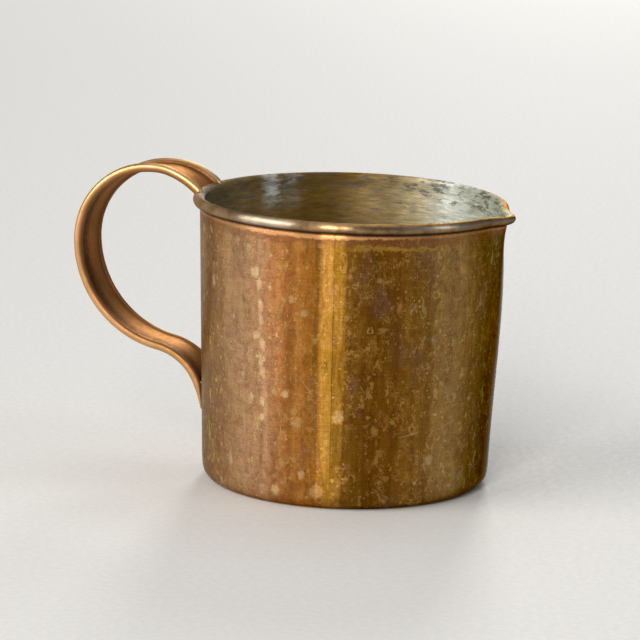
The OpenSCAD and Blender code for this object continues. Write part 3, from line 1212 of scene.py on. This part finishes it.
def browned_solder():
    """Lumpy solder that has browned like the copper round it."""
    g = Graph("browned_solder")
    lumps = g.noise(g.place, 0.9, 4, 0.6)
    base = g.mix(
        g.span(lumps, 0.4, 0.65), colour(0.36, 0.24, 0.13), colour(0.22, 0.13, 0.07)
    )
    return g.finish(
        Base_Color=base,
        Metallic=0.85,
        Roughness=g.span(lumps, 0.3, 0.7, 0.35, 0.55),
        Normal=g.bump(lumps, 0.6, 0.0006),
    )


def drawn_wire():
    """Plain drawn wire, a little rusty."""
    g = Graph("drawn_wire")
    rust = g.noise(g.place, 0.5, 4, 0.6)
    base = g.mix(
        g.span(rust, 0.4, 0.65), colour(0.40, 0.39, 0.37), colour(0.24, 0.17, 0.12)
    )
    return g.finish(
        Base_Color=base,
        Metallic=0.9,
        Roughness=g.span(rust, 0.3, 0.7, 0.3, 0.6),
        Normal=g.bump(rust, 0.3, 0.0002),
    )


def pale_floor():
    """A plain pale floor with a faint matt grain."""
    g = Graph("pale_floor")
    cloth = g.noise(g.place, 0.4, 3, 0.5)
    base = g.mix(
        g.span(cloth, 0.3, 0.7), colour(0.62, 0.61, 0.59), colour(0.59, 0.58, 0.565)
    )
    return g.finish(
        Base_Color=base,
        Roughness=g.span(cloth, 0.3, 0.7, 0.7, 0.8),
        Normal=g.bump(cloth, 0.05, 0.001),
    )


def give(node, material):
    """A better material for a CAD node that stays as it is."""
    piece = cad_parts[node]
    piece.data.materials.clear()
    piece.data.materials.append(material)


def mark(piece, name, values):
    """A number at each point of a piece, for its material."""
    attribute = piece.data.attributes.new(name, "FLOAT", "POINT")
    attribute.data.foreach_set("value", np.asarray(values, np.float32))


# ---------------------------------------------------------------- the pieces

# The wall's material follows each ring's place: on the roll or not, angle on it, and height.
section = cup_section()
cup = turned("cup", section, copper_wall())
first_of_roll = len(cup_face(0, TUCK_Z)) + ROLL_STEPS + 1
on_roll = [
    float(first_of_roll - 1 <= k <= first_of_roll + ROLL_STEPS + 1)
    for k in range(len(section))
]
round_roll = [
    math.degrees(math.atan2(z - RIM_Z, r - RIM_X)) if on else -90.0
    for on, (r, z) in zip(on_roll, section)
]
mark(cup, "rim", np.repeat(on_roll, ROUND_STEPS))
mark(cup, "round_roll", np.repeat(round_roll, ROUND_STEPS))
mark(cup, "level", np.repeat([float(z) for r, z in section], ROUND_STEPS))
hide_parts("body")

lining = turned("lining", lining_section(), tin_lining())
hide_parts("tin_lining")

handle = handle_strap(copper_handle())
ring = strap_section(STRAP_W / 2, EDGE_R)
ring_count = len(handle.data.vertices) // len(ring)
mark(handle, "hollow", np.tile([hollow_mark(y, n) for y, n in ring], ring_count))
# Painted shade beside the rolled edges, for the handle's material.
mark(handle, "crease_shade", np.tile([painted_shade_mark(y, n) for y, n in ring], ring_count))
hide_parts("handle_strap")

wire = drawn_wire()
give("rim_wire", wire)
for side, node in ((1, "left_edge_wire"), (-1, "right_edge_wire")):
    tube = edge_wire(node.replace("_edge", "_strap"), side, wire)
    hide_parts(node)

solder = browned_solder()
give("lower_solder", solder)
fillet = upper_fillet(solder)
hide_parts("upper_solder")

# ---------------------------------------------------------------- floor, lights, camera

# From here on lengths are metres.
FLOOR_HALF = 4.0
corners = [(-1, -1), (1, -1), (1, 1), (-1, 1)]
floor_mesh = bpy.data.meshes.new("floor")
floor_mesh.from_pydata(
    [(FLOOR_HALF * x, FLOOR_HALF * y, 0) for x, y in corners], [], [(0, 1, 2, 3)]
)
floor_mesh.materials.append(pale_floor())
floor = bpy.data.objects.new("floor", floor_mesh)
bpy.context.scene.collection.objects.link(floor)


LIGHT_TARGET = Vector((0, 0, 0.06))


def soft_light(name, azimuth, distance, height, width, tall, power, tint=(1, 1, 1)):
    """A soft rectangular light at an azimuth round the mug, aimed at its middle."""
    data = bpy.data.lights.new(name, "AREA")
    data.shape = "RECTANGLE"
    data.size, data.size_y = width, tall
    data.energy = power
    data.color = tint
    light = bpy.data.objects.new(name, data)
    bpy.context.scene.collection.objects.link(light)
    light.location = (
        distance * math.cos(math.radians(azimuth)),
        distance * math.sin(math.radians(azimuth)),
        height,
    )
    light.rotation_mode = "QUATERNION"
    aim = LIGHT_TARGET - light.location
    light.rotation_quaternion = aim.to_track_quat("-Z", "Y")


soft_light("window_left_pane", -92.3, 3.0, 1.3, 0.52, 1.9, 42, (1.0, 0.97, 0.9))
soft_light("window_right_pane", -82.0, 3.0, 1.3, 0.42, 1.9, 36, (1.0, 0.97, 0.9))
soft_light("big_left", -140, 2.6, 1.3, 2.3, 1.9, 75, (1.0, 0.98, 0.96))
soft_light("top", 90, 0.8, 2.4, 2.0, 2.0, 14)
soft_light("back_strip", 99, 3.0, 1.3, 0.55, 1.9, 40, (1.0, 0.98, 0.94))
soft_light("right_fill", 0, 3.0, 1.5, 0.9, 1.5, 16, (0.92, 0.96, 1.0))

world = bpy.data.worlds.new("studio")
world.use_nodes = True
background = world.node_tree.nodes["Background"].inputs
background["Color"].default_value = colour(0.9, 0.94, 1.0)
background["Strength"].default_value = 0.22
bpy.context.scene.world = world
bpy.context.scene.view_settings.view_transform = "Standard"

# The camera's place, the directions to the right and upwards in its view, and its lens in mm.
CAMERA_PLACE = Vector((0.35455, -1.32321, 0.33385))
CAMERA_RIGHT = Vector((0.96214, 0.27129, 0.02621))
CAMERA_UP = Vector((-0.07806, 0.18213, 0.98017))
CAMERA_LENS = 212.58

camera_data = bpy.data.cameras.new("camera")
camera_data.sensor_width = 36
camera_data.lens = CAMERA_LENS
camera_data.clip_start, camera_data.clip_end = 0.05, 50
camera = bpy.data.objects.new("camera", camera_data)
bpy.context.scene.collection.objects.link(camera)
backward = CAMERA_RIGHT.cross(CAMERA_UP).normalized()
upward = backward.cross(CAMERA_RIGHT).normalized()
turned_to = Matrix((CAMERA_RIGHT.normalized(), upward, backward)).transposed()
camera.matrix_world = Matrix.Translation(CAMERA_PLACE) @ turned_to.to_4x4()
bpy.context.scene.camera = camera
